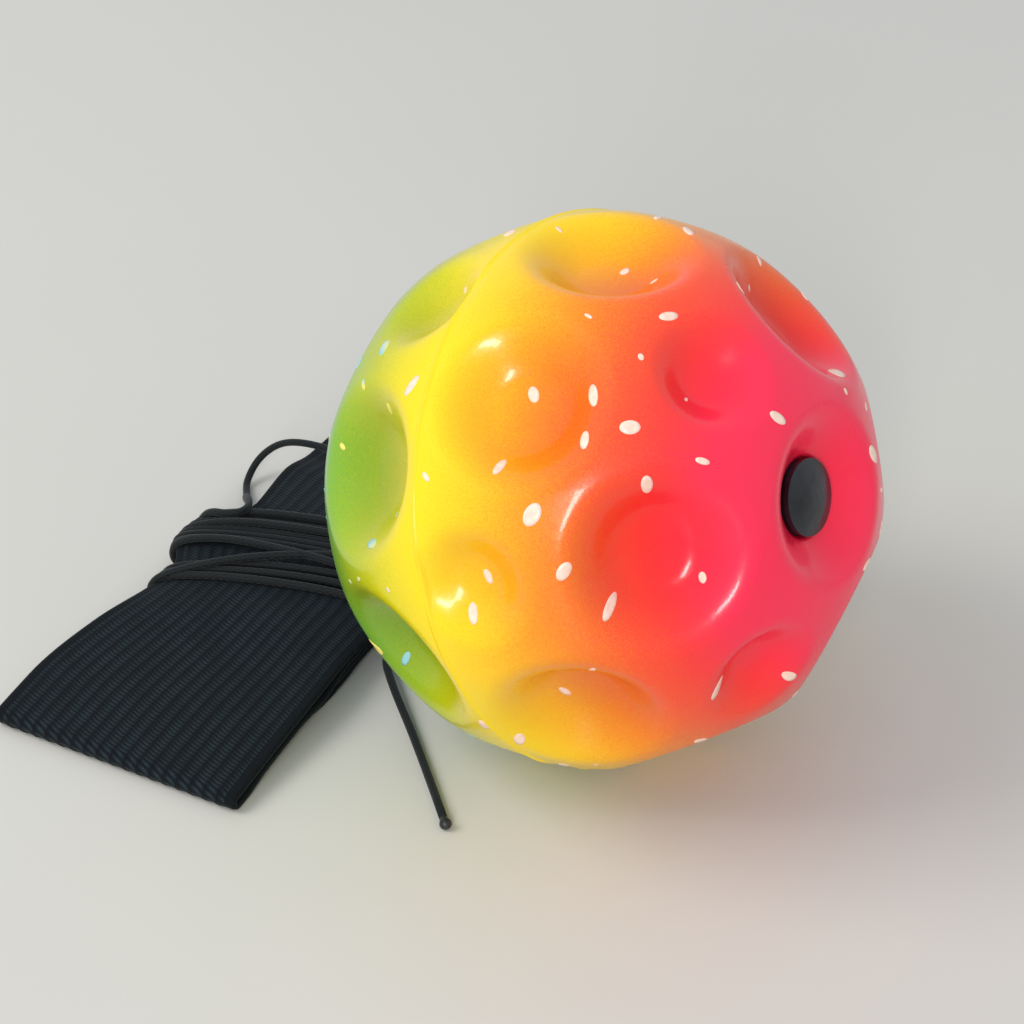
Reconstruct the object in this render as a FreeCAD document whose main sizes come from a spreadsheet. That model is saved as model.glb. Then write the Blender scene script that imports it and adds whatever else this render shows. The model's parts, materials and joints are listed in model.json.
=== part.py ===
import FreeCAD, Part
import math
import os

# Reflex ball headband, laid down with its cord wound round the folded band.
# Millimetres, +Z up, the band lies along Y, and Z = 0 is the surface it lies on.
# The origin is the middle of the footprint of the band and the ball.

os.makedirs("parts", exist_ok=True)
doc = FreeCAD.newDocument("reflex_ball_headband")
Vec = FreeCAD.Vector
UP = Vec(0, 0, 1)

SIZES = {
    # ball: high-rebound foam, moulded with 20 large and 12 small round hollows
    "ball_radius": 35.0,
    "ball_x": 16.5,
    "ball_y": -27.0,
    "big_rim_angle": 17.5,
    "big_depth": 4.0,
    "small_rim_angle": 10.0,
    "small_depth": 2.2,
    "seam_wire": 0.6,
    "axis_turn": -8.4,
    # what sits in the ball's bore
    "tube_radius": 1.7,
    "tube_bore": 0.95,
    "pocket_radius": 2.6,
    "pocket_floor": 22.0,
    "seat_radius": 4.8,
    "seat_level": 29.3,
    "cap_radius": 4.65,
    "cap_edge": 1.6,
    "cap_crown": 0.7,
    "stem_radius": 2.55,
    "stem_bore": 1.9,
    "stem_length": 6.1,
    "washer_radius": 2.4,
    "washer_thick": 0.8,
    "knot_radius": 1.5,
    "knot_height": 2.6,
    "fit_gap": 0.05,
    # cord
    "cord_diameter": 1.1,
    # headband: woven elastic, a loop laid flat and folded once under itself
    "band_width": 38.0,
    "band_thick": 1.1,
    "band_length": 140.0,
    "layer_pitch": 1.2,
    "band_left": -51.5,
    "side_step": 5.0,
    "cord_lift": 1.2,
    "knot_lift": 2.3,
    "lap_length": 22.0,
    "lap_y": 39.0,
    "eyelet_radius": 0.75,
    # winding round the band
    "wrap_side": 1.2,
    "wrap_top": 1.4,
}

sheet = doc.addObject("Spreadsheet::Sheet", "sizes")
for row, (alias, value) in enumerate(SIZES.items(), start=1):
    sheet.set("A%d" % row, alias)
    sheet.set("B%d" % row, str(value))
    sheet.setAlias("B%d" % row, alias)
doc.recompute()


def size(alias):
    return float(sheet.get(alias))


def bind(obj, **cells):
    """Drive properties of an object from the sheet's cells."""
    for prop, expression in cells.items():
        for alias in SIZES:
            expression = expression.replace("<%s>" % alias, "sizes.%s" % alias)
        obj.setExpression(prop, expression)
    return obj


def cylinder(name, radius, height, base=0.0):
    """A cylinder on the Z axis with its foot at the height base."""
    obj = doc.addObject("Part::Cylinder", name)
    bind(obj, Radius=radius, Height=height)
    obj.Placement.Base = Vec(0, 0, base)
    return obj


def boolean(kind, name, base, tools):
    """A Part::Cut, or a multi-operand fuse or common."""
    if kind == "Part::Cut":
        obj = doc.addObject(kind, name)
        obj.Base = base
        obj.Tool = tools
    else:
        obj = doc.addObject(kind, name)
        obj.Shapes = [base] + tools
    return obj


def shape_feature(name, shape, placement=None):
    obj = doc.addObject("Part::Feature", name)
    obj.Shape = shape
    if placement is not None:
        obj.Placement = placement
    return obj


sub_parts = []


def sub_part(obj, label, placement=None):
    """Keep an object as one of the object's own pieces."""
    obj.Label = label
    if placement is not None:
        obj.Placement = placement
    sub_parts.append(obj)
    return obj


# ---------------------------------------------------------------- ball frame
# The ball rests on one large hollow. The bore's axis runs through the middle of
# another, so it rises above level by the angle whose sine is 1/3.
RADIUS = size("ball_radius")
BIG_RIM = math.radians(size("big_rim_angle"))
SMALL_RIM = math.radians(size("small_rim_angle"))
CENTRE_HEIGHT = RADIUS * math.cos(BIG_RIM)
AXIS_RISE = math.asin(1.0 / 3.0)
AXIS_TURN = math.radians(size("axis_turn"))
CENTRE = Vec(size("ball_x"), size("ball_y"), CENTRE_HEIGHT)
AXIS = Vec(
    math.cos(AXIS_RISE) * math.cos(AXIS_TURN),
    math.cos(AXIS_RISE) * math.sin(AXIS_TURN),
    math.sin(AXIS_RISE),
)
AXIS_SIDE = UP.cross(AXIS).normalize()
# Local Z is the bore's axis and local X is the direction nearest to straight up.
BALL_PLACE = FreeCAD.Placement(
    CENTRE, FreeCAD.Rotation(AXIS_SIDE.cross(AXIS) * -1, AXIS_SIDE * -1, AXIS, "ZXY")
)
BIG_FLOOR = CENTRE_HEIGHT - size("big_depth")

# Rings of hollows about the axis, as (angle from the axis, turns about it).
# The large ones sit on the corners of a regular dodecahedron that has two
# corners on the axis, and the small ones on the middles of its faces.
EDGE = math.degrees(math.acos(math.sqrt(5) / 3))
FACE = math.degrees(math.acos(math.sqrt((5 + 2 * math.sqrt(5)) / 15)))
FACE_FAR = math.degrees(math.acos(math.sqrt((5 - 2 * math.sqrt(5)) / 15)))
SECOND = math.degrees(math.acos(1.0 / 3.0))
SKEW = math.degrees(math.acos(math.sqrt((7 + 3 * math.sqrt(5)) / 16)))


def ring_directions(polar, turns):
    """Directions in the ball's frame for one ring and its opposite ring."""
    found = []
    for turn in turns:
        for third in (0, 120, 240):
            about = math.radians(turn + third)
            slope = math.radians(polar)
            one = Vec(
                math.sin(slope) * math.cos(about), math.sin(slope) * math.sin(about), math.cos(slope)
            )
            found += [one, one * -1]
    return found


def hollow_directions(start):
    big = [UP, UP * -1]
    big += ring_directions(EDGE, [start + 60])
    big += ring_directions(SECOND, [start - SKEW, start + SKEW])
    small = ring_directions(FACE, [start])
    small += ring_directions(FACE_FAR, [start + 60])
    return big, small


def hollow_ball(direction, rim_angle, depth, name):
    """The sphere that scoops one hollow out of the ball."""
    rim = RADIUS * math.sin(rim_angle)
    scoop = (rim * rim + depth * depth) / (2 * depth)
    obj = doc.addObject("Part::Sphere", name)
    obj.Radius = scoop
    distance = RADIUS * math.cos(rim_angle) - depth + scoop
    obj.Placement = FreeCAD.Placement(direction * distance, FreeCAD.Rotation(UP, direction))
    return obj


def build_foam_ball():
    """Cratered ball with its mould seam, through bore and cap pocket."""
    core = doc.addObject("Part::Sphere", "ball_core")
    bind(core, Radius="<ball_radius>")
    seam = doc.addObject("Part::Torus", "mould_seam")
    bind(seam, Radius1="<ball_radius> - <seam_wire> / 3", Radius2="<seam_wire> / 2")
    # The surfaces' own closing edges are turned clear of the rims of the hollows.
    core.Placement.Rotation = FreeCAD.Rotation(Vec(1, 1, 0), 9)
    seam.Placement.Rotation = FreeCAD.Rotation(UP, 11)
    whole = boolean("Part::MultiFuse", "ball_and_seam", core, [seam])

    big, small = hollow_directions(SKEW)
    cutters = []
    for number, direction in enumerate(big):
        cutters.append(hollow_ball(direction, BIG_RIM, size("big_depth"), "big_hollow_%d" % number))
    for number, direction in enumerate(small):
        cutters.append(
            hollow_ball(direction, SMALL_RIM, size("small_depth"), "small_hollow_%d" % number)
        )
    cutters.append(cylinder("ball_bore", "<tube_radius>", "2 * <ball_radius>", -RADIUS))
    cutters.append(cylinder("cap_pocket", "<pocket_radius>", "<ball_radius>", size("pocket_floor")))
    cutters.append(cylinder("cap_seat", "<seat_radius>", "<ball_radius>", size("seat_level")))
    scoops = boolean("Part::MultiFuse", "hollows_and_bores", cutters[0], cutters[1:])
    sub_part(boolean("Part::Cut", "foam_ball", whole, scoops), "foam_ball", BALL_PLACE)


def build_core_tube():
    """Plastic tube that lines the bore between the far hollow and the cap pocket."""
    length = "<pocket_floor> + %r" % BIG_FLOOR
    outside = cylinder("tube_outside", "<tube_radius>", length, -BIG_FLOOR)
    inside = cylinder("tube_inside", "<tube_bore>", length, -BIG_FLOOR)
    sub_part(boolean("Part::Cut", "core_tube", outside, inside), "core_tube", BALL_PLACE)


def origin_plane(body, role):
    return next(item for item in body.Origin.OriginFeatures if item.Role == role)


def build_plug_cap():
    """Domed black cap: a turned disc with a hollow stem that grips the pocket."""
    under = size("seat_level") + size("fit_gap")
    edge = under + size("cap_edge")
    foot = under - size("stem_length")
    crown = edge + size("cap_crown")
    cap, stem, bore = size("cap_radius"), size("stem_radius"), size("stem_bore")
    swell = (cap * cap + size("cap_crown") ** 2) / (2 * size("cap_crown"))
    half = math.asin(cap / swell) / 2
    middle = Vec(swell * math.sin(half), crown - swell + swell * math.cos(half), 0)

    body = doc.addObject("PartDesign::Body", "plug_cap")
    sketch = body.newObject("Sketcher::SketchObject", "cap_profile")
    sketch.AttachmentSupport = [(origin_plane(body, "XZ_Plane"), "")]
    sketch.MapMode = "FlatFace"
    corners = [
        Vec(0, crown, 0),
        Vec(0, under, 0),
        Vec(bore, under, 0),
        Vec(bore, foot, 0),
        Vec(stem, foot, 0),
        Vec(stem, under, 0),
        Vec(cap, under, 0),
        Vec(cap, edge, 0),
    ]
    for first, second in zip(corners, corners[1:]):
        sketch.addGeometry(Part.LineSegment(first, second), False)
    sketch.addGeometry(Part.Arc(corners[-1], middle, corners[0]), False)
    turned = body.newObject("PartDesign::Revolution", "cap_turned")
    turned.Profile = sketch
    turned.ReferenceAxis = (sketch, ["V_Axis"])
    turned.Angle = 360.0
    body.Tip = turned
    sub_part(body, "plug_cap", BALL_PLACE)


def build_knot_washer():
    """Washer that keeps the stop knot from pulling into the bore."""
    base = size("pocket_floor") + size("fit_gap")
    disc = cylinder("washer_disc", "<washer_radius>", "<washer_thick>", base)
    hole = cylinder("washer_hole", "<cord_diameter> / 2 + 0.07", "<washer_thick>", base)
    sub_part(boolean("Part::Cut", "knot_washer", disc, hole), "knot_washer", BALL_PLACE)


def rounded_knot(name, radius, height, rounding):
    """A pulled-tight knot as a stubby cylinder with round edges."""
    raw = cylinder(name + "_blank", radius, height)
    doc.recompute()
    knot = doc.addObject("Part::Fillet", name)
    knot.Base = raw
    rims = [number for number, edge in enumerate(raw.Shape.Edges, start=1) if edge.isClosed()]
    knot.Edges = [(number, rounding, rounding) for number in rims]
    return knot


def on_axis(height):
    """Placement of a piece whose foot stands at this height along the bore."""
    return BALL_PLACE.multiply(FreeCAD.Placement(Vec(0, 0, height), FreeCAD.Rotation()))


def build_bore_cord():
    """The cord's hidden end: stop knot and the straight run through the ball."""
    knot_foot = size("pocket_floor") + size("fit_gap") + size("washer_thick")
    knot = rounded_knot("stop_knot", "<knot_radius>", "<knot_height>", 0.9)
    sub_part(knot, "stop_knot", on_axis(knot_foot))
    run = cylinder("cord_inner", "<cord_diameter> / 2", "%r" % (knot_foot + BIG_FLOOR))
    sub_part(run, "cord_inner", on_axis(-BIG_FLOOR))


# ------------------------------------------------------------------ headband
LEFT = size("band_left")
RIGHT = LEFT + size("band_width")
STEP = size("side_step")
THICK = size("band_thick")
PITCH = size("layer_pitch")
LIFT = size("cord_lift")
NOSE_Y = -size("band_length") / 2
REAR_Y = size("band_length") / 2
FIRST_LAYER = THICK / 2
WRAP_FROM, WRAP_TO = -42.0, -2.0
LAP_FROM = size("lap_y") - size("lap_length") / 2
LAP_TO = size("lap_y") + size("lap_length") / 2
TOP_OF_WRAPPED = LIFT + 3 * PITCH + THICK
LAP_TOP = 3 * PITCH + THICK + size("knot_lift") + THICK
EYELET = Vec((LEFT + RIGHT) / 2 + STEP, size("lap_y"), LAP_TOP)


def layer_height(layer):
    return FIRST_LAYER + layer * PITCH


def lifted_run(layer):
    """A layer's run from the fold in front, over the cord turns, to the rear."""
    low = layer_height(layer)
    return [(-48.0, low), (WRAP_FROM, low + LIFT), (WRAP_TO, low + LIFT), (5.0, low)]


def fold(centre_y, low, high, outward):
    """Half circle that joins two layers; outward is -1 in front and 1 behind."""
    radius = (high - low) / 2
    mid = Vec(0, centre_y + outward * radius, (high + low) / 2)
    ends = [Vec(0, centre_y, low), Vec(0, centre_y, high)]
    return Part.Arc(ends[0], mid, ends[1]).toShape()


def run_edges(points):
    corners = [Vec(0, across, height) for across, height in points]
    return [Part.LineSegment(a, b).toShape() for a, b in zip(corners, corners[1:])]


def band_centre_line():
    """Closed side outline of the loop: two layers, folded back under themselves."""
    bottom, second, third, top = [layer_height(layer) for layer in range(4)]
    nose = NOSE_Y + THICK / 2 + (third - bottom) / 2
    rear = REAR_Y - THICK / 2 - (top - bottom) / 2
    tuck = -52.0
    knot_top = top + size("knot_lift")
    upper = [(nose, third), (-54.0, top)] + lifted_run(3)
    upper += [(20.0, top), (LAP_FROM - 1, knot_top), (LAP_TO + 1, knot_top), (59.0, top)]
    upper += [(rear, top)]
    inner = [(nose, bottom), (-64.0, bottom), (-54.0, third)] + lifted_run(2) + [(rear, third)]
    edges = run_edges(upper) + run_edges(inner)
    for layer in (0, 1):
        height = layer_height(layer)
        edges += run_edges([(tuck, height)] + lifted_run(layer) + [(rear, height)])
    edges.append(fold(nose, bottom, third, -1))
    edges.append(fold(tuck, bottom, second, -1))
    edges.append(fold(rear, second, third, 1))
    edges.append(fold(rear, bottom, top, 1))
    return Part.Wire(Part.__sortEdges__(edges))


def plan_outline(margin):
    """Plan of the bundle: straight sides that step across where the cord pulls."""
    front, back = NOSE_Y - 5, REAR_Y + 5
    corners = [
        (LEFT - margin, front),
        (RIGHT + margin, front),
        (RIGHT + margin, -24.0),
        (RIGHT + STEP + margin, -16.0),
        (RIGHT + STEP + margin, back),
        (LEFT + STEP - margin, back),
        (LEFT + STEP - margin, -16.0),
        (LEFT - margin, -24.0),
    ]
    return Part.makePolygon([Vec(x, y, 0) for x, y in corners + corners[:1]])


def plan_prism(name, margin, low, height):
    outline = plan_outline(margin)
    outline.translate(Vec(0, 0, low))
    base = shape_feature(name + "_plan", Part.Face(outline))
    prism = doc.addObject("Part::Extrusion", name)
    prism.Base = base
    prism.DirMode = "Custom"
    prism.Dir = UP
    prism.LengthFwd = height
    prism.Solid = True
    return prism


def build_headband():
    """The woven loop with its lapped joint and the hole for the cord."""
    line = band_centre_line()
    outside = Part.Face(line.makeOffset2D(THICK / 2))
    inside = Part.Face(line.makeOffset2D(-THICK / 2))
    profile = shape_feature("band_profile", outside.cut(inside))
    profile.Placement.Base = Vec(LEFT - STEP, 0, 0)
    slab = doc.addObject("Part::Extrusion", "band_slab")
    slab.Base = profile
    slab.DirMode = "Custom"
    slab.Dir = Vec(1, 0, 0)
    slab.Solid = True
    bind(slab, LengthFwd="<band_width> + 3 * <side_step>")
    trim = plan_prism("band_trim", 0.0, -1.0, 20.0)
    loop = boolean("Part::MultiCommon", "band_loop", slab, [trim])

    lap = doc.addObject("Part::Box", "band_lap")
    bind(lap, Length="<band_width>", Width="<lap_length>", Height="<band_thick>")
    lap.Placement.Base = Vec(LEFT + STEP, LAP_FROM, LAP_TOP - THICK)
    joined = boolean("Part::MultiFuse", "band_and_lap", loop, [lap])

    hole = cylinder("cord_hole", "<eyelet_radius>", "3 * <band_thick>", LAP_TOP - 2.5 * THICK)
    hole.Placement.Base.x = EYELET.x
    hole.Placement.Base.y = EYELET.y
    sub_part(boolean("Part::Cut", "headband_elastic", joined, hole), "headband_elastic")


def build_seam_stitches():
    """Two rows of bar stitches that close the lapped joint."""
    stitch_long, stitch_wide, stitch_high = 1.9, 0.5, 0.25
    per_row, edge_room = 13, 2.2
    spacing = (size("band_width") - 2 * edge_room - stitch_long) / (per_row - 1)
    bars = []
    for row_y in (LAP_FROM + 1.5, LAP_FROM + 3.0, LAP_TO - 3.5, LAP_TO - 2.0):
        for number in range(per_row):
            corner = Vec(LEFT + STEP + edge_room + number * spacing, row_y, LAP_TOP)
            bars.append(Part.makeBox(stitch_long, stitch_wide, stitch_high, corner))
    sub_part(shape_feature("seam_stitches", Part.makeCompound(bars)), "seam_stitches")


def build_eyelet_stitches():
    """Buttonhole stitching round the cord hole."""
    ring = doc.addObject("Part::Torus", "eyelet_stitches")
    ring.Radius1 = size("eyelet_radius") + 0.9
    ring.Radius2 = 0.35
    place = FreeCAD.Placement(EYELET + Vec(0, 0, 0.35), FreeCAD.Rotation())
    sub_part(ring, "eyelet_stitches", place)


def build_anchor_knot():
    """Knot inside the loop, under the hole, that the cord hangs on."""
    height = size("knot_lift") - 0.1
    foot = layer_height(2) + THICK / 2 + 0.05
    knot = rounded_knot("anchor_knot", "1.4", "%r" % height, 0.7)
    sub_part(knot, "anchor_knot", FreeCAD.Placement(Vec(EYELET.x, EYELET.y, foot), FreeCAD.Rotation()))


# ---------------------------------------------------------------------- cord
CORD_R = size("cord_diameter") / 2
EXIT = CENTRE - AXIS * BIG_FLOOR
ON_WRAP = TOP_OF_WRAPPED + CORD_R + 0.1
KNOT_TOP = LAP_TOP - 2 * THICK - 0.05

# The working run from the ball's bore, over the band's edge, down round the table
# beside it in a standing arch and back up to the winding.
LEAD = [
    EXIT,
    EXIT - AXIS * 7.0,
    Vec(-25.0, -16.5, 17.0),
    Vec(-29.5, -9.5, 12.2),
    Vec(-33.5, -3.5, 9.3),
    Vec(-39.5, -1.6, 8.0),
    Vec(-46.5, -0.8, 7.4),
    Vec(-51.8, -1.2, 4.6),
    Vec(-54.0, -4.2, 1.0),
    Vec(-53.0, -8.6, CORD_R + 0.15),
    Vec(-50.6, -12.0, 2.4),
    Vec(-47.4, -15.0, 7.0),
    Vec(-41.8, -17.9, ON_WRAP + 0.2),
]
# From the back of the winding to the hole in the lapped joint.
RUN = [
    Vec(-24.0, -10.0, ON_WRAP),
    Vec(-22.5, 0.0, 7.4),
    Vec(-23.5, 11.0, 7.6),
    Vec(-24.6, 19.5, 8.6),
    Vec(-25.9, 27.0, 10.8),
    Vec(-26.9, 33.8, 13.0),
    Vec(EYELET.x, EYELET.y - 0.4, KNOT_TOP + 5.1),
    Vec(EYELET.x, EYELET.y, KNOT_TOP),
]
# The spare end, out of the side of the loop and forward along the table.
TAIL = [
    Vec(EYELET.x + 1.4, EYELET.y, 4.7),
    Vec(-17.0, 39.6, 4.7),
    Vec(-8.0, 37.6, 4.4),
    Vec(-2.5, 30.5, 1.5),
    Vec(-3.5, 19.0, CORD_R + 0.05),
    Vec(-5.6, 6.0, CORD_R + 0.05),
    Vec(-4.6, -7.0, CORD_R + 0.05),
    Vec(-6.6, -18.0, 1.2),
    Vec(-11.3, -29.5, 2.2),
    Vec(-6.6, -40.0, 1.6),
    Vec(0.4, -47.6, 0.8),
    Vec(10.3, -58.2, CORD_R + 0.25),
]


def rounded_path(points, label):
    """Straight runs joined by tangent arcs as large as the runs allow."""
    edges, radii = [], []
    start = points[0]
    for before, corner, after in zip(points, points[1:], points[2:]):
        into = (corner - before).normalize()
        out = (after - corner).normalize()
        shorter = min((corner - before).Length, (after - corner).Length)
        setback = 0.45 * shorter
        half_turn = into.getAngle(out) / 2
        radii.append(setback / math.tan(half_turn))
        first = corner - into * setback
        last = corner + out * setback
        inward = (out - into).normalize()
        centre = corner + inward * (radii[-1] / math.cos(half_turn))
        middle = centre - inward * radii[-1]
        edges.append(Part.LineSegment(start, first).toShape())
        edges.append(Part.Arc(first, middle, last).toShape())
        start = last
    edges.append(Part.LineSegment(start, points[-1]).toShape())
    print(label, "radii", [round(radius, 1) for radius in radii])
    return Part.Wire(edges)


def build_cord_tube(points, label):
    path = rounded_path(points, label)
    circle = Part.makeCircle(CORD_R, points[0], points[1] - points[0])
    tube = path.makePipeShell([Part.Wire([circle])], True, False)
    expected = path.Length * math.pi * CORD_R**2
    print(label, "length", round(path.Length, 1), "volume ratio", round(tube.Volume / expected, 4))
    sub_part(shape_feature(label, tube), label)


def build_cord_wrap():
    """Outer shape of the turns of cord round the bundle."""
    height = TOP_OF_WRAPPED + size("wrap_top")
    sleeve = plan_prism("wrap_sleeve", size("wrap_side"), 0.0, height)
    fan = doc.addObject("Part::Wedge", "wrap_fan")
    # Seen from above the turns spread out from left to right.
    fan.Ymin, fan.Ymax = 0.0, 60.0
    fan.Xmin, fan.Xmax = -29.0, -3.0
    fan.X2min, fan.X2max = -42.0, -23.0
    fan.Zmin, fan.Zmax, fan.Z2min, fan.Z2max = -1.0, 20.0, -1.0, 20.0
    fan.Placement = FreeCAD.Placement(Vec(3.0, 0, 0), FreeCAD.Rotation(UP, 90))
    ring = boolean("Part::MultiCommon", "wrap_ring", sleeve, [fan])
    band = plan_prism("wrap_inside", 0.0, LIFT, 3 * PITCH + THICK)
    sub_part(boolean("Part::Cut", "cord_wrap", ring, band), "cord_wrap")


def build_cord_tip():
    """Melted bead that keeps the cord's cut end from fraying."""
    end = TAIL[-1]
    along = (TAIL[-1] - TAIL[-2]).normalize()
    bead = doc.addObject("Part::Cone", "cord_tip")
    bead.Radius1 = CORD_R
    bead.Radius2 = CORD_R + 0.15
    bead.Height = 1.6
    sub_part(bead, "cord_tip", FreeCAD.Placement(end, FreeCAD.Rotation(UP, along)))


build_foam_ball()
build_core_tube()
build_plug_cap()
build_knot_washer()
build_bore_cord()
build_headband()
build_seam_stitches()
build_eyelet_stitches()
build_anchor_knot()
build_cord_tube(LEAD, "cord_lead")
build_cord_tube(RUN, "cord_run")
build_cord_tube(TAIL, "cord_tail")
build_cord_wrap()
build_cord_tip()
doc.recompute()

for obj in doc.Objects:
    if "Invalid" in obj.State or "Error" in obj.State:
        raise RuntimeError("%s failed: %s" % (obj.Name, obj.State))
for obj in sub_parts:
    if obj.Shape.isNull() or not obj.Shape.isValid():
        raise RuntimeError("%s has a bad shape" % obj.Label)
    box = obj.Shape.BoundBox
    print("%-18s %7.1f..%6.1f %7.1f..%6.1f %6.2f..%6.2f  vol %.1f" % (
        obj.Label, box.XMin, box.XMax, box.YMin, box.YMax, box.ZMin, box.ZMax, obj.Shape.Volume))
    obj.Shape.exportStep("parts/%s.step" % obj.Label)
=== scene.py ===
import bmesh
import bpy
import json
import math
import random
import numpy as np
from mathutils import Matrix, Vector


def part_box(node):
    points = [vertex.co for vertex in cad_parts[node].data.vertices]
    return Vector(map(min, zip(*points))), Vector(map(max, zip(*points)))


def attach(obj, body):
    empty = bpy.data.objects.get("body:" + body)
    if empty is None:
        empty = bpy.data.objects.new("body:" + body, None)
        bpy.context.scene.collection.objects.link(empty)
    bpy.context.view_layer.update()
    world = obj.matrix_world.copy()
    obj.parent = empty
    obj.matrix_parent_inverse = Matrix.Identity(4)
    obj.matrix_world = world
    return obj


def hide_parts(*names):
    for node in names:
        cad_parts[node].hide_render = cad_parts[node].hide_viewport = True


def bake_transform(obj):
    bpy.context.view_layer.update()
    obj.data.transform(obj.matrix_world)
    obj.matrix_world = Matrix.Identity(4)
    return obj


# Reflex ball headband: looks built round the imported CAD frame. Metres, +Z up.

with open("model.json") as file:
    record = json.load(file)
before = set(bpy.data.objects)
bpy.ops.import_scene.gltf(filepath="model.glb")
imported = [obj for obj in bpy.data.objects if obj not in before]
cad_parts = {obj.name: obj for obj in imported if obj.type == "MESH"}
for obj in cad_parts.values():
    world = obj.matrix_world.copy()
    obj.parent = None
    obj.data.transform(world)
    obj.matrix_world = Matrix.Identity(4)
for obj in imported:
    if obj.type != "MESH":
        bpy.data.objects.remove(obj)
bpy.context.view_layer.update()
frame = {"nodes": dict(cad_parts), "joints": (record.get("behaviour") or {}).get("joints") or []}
MM = 0.001


def mm(*values):
    return Vector(values) * MM


def joint_named(name):
    return next(joint for joint in frame["joints"] if joint["name"] == name)


# ------------------------------------------------------------ places from CAD
CENTRE = Vector(joint_named("ball_spin")["pos_m"])
AXIS = Vector(joint_named("ball_spin")["axis"]).normalized()
BALL_LOW, BALL_HIGH = (Vector(corner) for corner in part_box("foam_ball"))
RADIUS = (BALL_HIGH.y - BALL_LOW.y) / 2
BAND_LEFT = Vector(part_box("headband_elastic")[0]).x / MM
CORD_R = 0.55 * MM

# The skin's crests stand this far out; the seam's ridge stands a little further.
SKIN_R = 35.17 * MM
# Each hollow: where its wall starts and where its shoulder ends, and its depth.
BIG_HOLLOW = (math.radians(6.5), math.radians(20.3), 5.77 * MM)
SMALL_HOLLOW = (math.radians(2.5), math.radians(14.0), 3.5 * MM)

# Ball frame: local Z is the bore's axis and local X the direction nearest to up.
SIDE = Vector((0, 0, 1)).cross(AXIS).normalized()
BALL_TURN = Matrix((AXIS.cross(SIDE), -SIDE, AXIS)).transposed()


# ------------------------------------------------------------------ materials
class Graph:
    """Short forms for wiring up a node material."""

    def __init__(self, name):
        self.material = bpy.data.materials.new(name)
        self.material.use_nodes = True
        self.tree = self.material.node_tree
        self.bsdf = next(n for n in self.tree.nodes if n.type == "BSDF_PRINCIPLED")

    def node(self, kind, **settings):
        made = self.tree.nodes.new(kind)
        for name, value in settings.items():
            setattr(made, name, value)
        return made

    def link(self, source, target):
        self.tree.links.new(source, target)

    def fill(self, socket, value):
        if isinstance(value, bpy.types.NodeSocket):
            self.link(value, socket)
        elif value is not None:
            socket.default_value = value

    def math(self, operation, first, second=None, third=None, clamp=False):
        made = self.node("ShaderNodeMath", operation=operation, use_clamp=clamp)
        for socket, value in zip(made.inputs, (first, second, third)):
            self.fill(socket, value)
        return made.outputs[0]

    def vector(self, operation, first, second=None):
        made = self.node("ShaderNodeVectorMath", operation=operation)
        for socket, value in zip(made.inputs, (first, second)):
            self.fill(socket, value)
        return made.outputs["Value" if operation in ("DOT_PRODUCT", "LENGTH") else "Vector"]

    def noise(self, coordinates, scale, detail):
        made = self.node("ShaderNodeTexNoise")
        self.fill(made.inputs["Vector"], coordinates)
        made.inputs["Scale"].default_value = scale
        made.inputs["Detail"].default_value = detail
        return made.outputs["Fac"]

    def ramp(self, factor, stops):
        made = self.node("ShaderNodeValToRGB")
        elements = made.color_ramp.elements
        while len(elements) < len(stops):
            elements.new(0.5)
        for element, (place, colour) in zip(elements, stops):
            element.position = place
            element.color = (*colour, 1.0)
        self.fill(made.inputs["Fac"], factor)
        return made.outputs["Color"]

    def mix(self, factor, first, second, blend="MIX"):
        made = self.node("ShaderNodeMix", data_type="RGBA", blend_type=blend)
        self.fill(made.inputs["Factor"], factor)
        for name, value in (("A", first), ("B", second)):
            socket = next(s for s in made.inputs if s.name == name and s.type == "RGBA")
            self.fill(socket, (*value, 1.0) if isinstance(value, tuple) else value)
        return next(s for s in made.outputs if s.type == "RGBA")

    def bump(self, height, strength, distance, normal=None):
        made = self.node("ShaderNodeBump")
        made.inputs["Strength"].default_value = strength
        made.inputs["Distance"].default_value = distance
        self.fill(made.inputs["Height"], height)
        self.fill(made.inputs["Normal"], normal)
        return made.outputs["Normal"]

    def object_coordinates(self):
        return self.node("ShaderNodeTexCoord").outputs["Object"]

    def uv(self):
        split = self.node("ShaderNodeSeparateXYZ")
        self.link(self.node("ShaderNodeTexCoord").outputs["UV"], split.inputs[0])
        return split.outputs["X"], split.outputs["Y"]

    def shade(self, **values):
        """Set or link inputs of the principled shader; underscores stand for spaces."""
        for name, value in values.items():
            socket = self.bsdf.inputs[name.replace("_", " ")]
            self.fill(socket, (*value, 1.0) if isinstance(value, tuple) else value)
        return self.material


def srgb(red, green, blue):
    """Linear colour for a screen colour given from 0 to 255."""
    def channel(value):
        value /= 255
        return value / 12.92 if value <= 0.04045 else ((value + 0.055) / 1.055) ** 2.4
    return channel(red), channel(green), channel(blue)


# Paint along the ball's axis, by degrees from the cap's pole.
PAINT = [
    (0, (254, 38, 84)),
    (34, (254, 40, 76)),
    (43, (254, 54, 50)),
    (52, (250, 82, 38)),
    (60, (244, 118, 26)),
    (69, (244, 154, 18)),
    (80, (248, 194, 16)),
    (90, (246, 213, 16)),
    (99, (220, 204, 14)),
    (109, (184, 188, 20)),
    (124, (126, 172, 42)),
    (144, (44, 150, 128)),
    (164, (26, 108, 190)),
    (180, (36, 88, 206)),
]


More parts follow.
